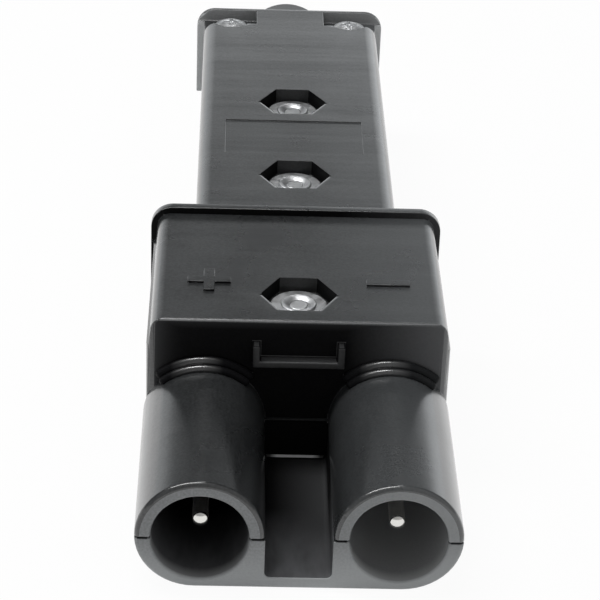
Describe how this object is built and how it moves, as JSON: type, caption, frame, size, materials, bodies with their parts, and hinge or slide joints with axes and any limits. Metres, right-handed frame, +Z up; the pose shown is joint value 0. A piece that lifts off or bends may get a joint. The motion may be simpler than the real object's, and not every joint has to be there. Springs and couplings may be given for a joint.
{
  "type": "battery charger plug",
  "caption": "Two-pole battery charger plug: a black moulded handle in two halves with round sockets, a recessed contact pin in each, hexagonal nut pockets and a cord neck.",
  "frame": {"origin": "centre of the bounding box on the flat bottom", "axes": "+Y along the plug from the socket mouths to the cord neck, +X to the right seen from the mouths, +Z up from the flat bottom"},
  "size_m": [0.0652, 0.244, 0.0373],
  "materials": {
    "black_plastic": "fine satin moulding texture",
    "contact_plating": "bright nickel plating",
    "brass": "turned",
    "zinc_steel": "zinc plated",
    "black_rubber": "matt"
  },
  "bodies": {
    "root": {"upper_shell": "black_plastic", "lower_shell": "black_plastic", "positive_pin": "contact_plating", "negative_pin": "contact_plating", "terminal_screws": "brass", "body_bolts": "zinc_steel", "body_washers": "zinc_steel", "body_nuts": "zinc_steel", "clamp_screws": "zinc_steel", "cord_bushing": "black_rubber"}
  },
  "joints": []
}
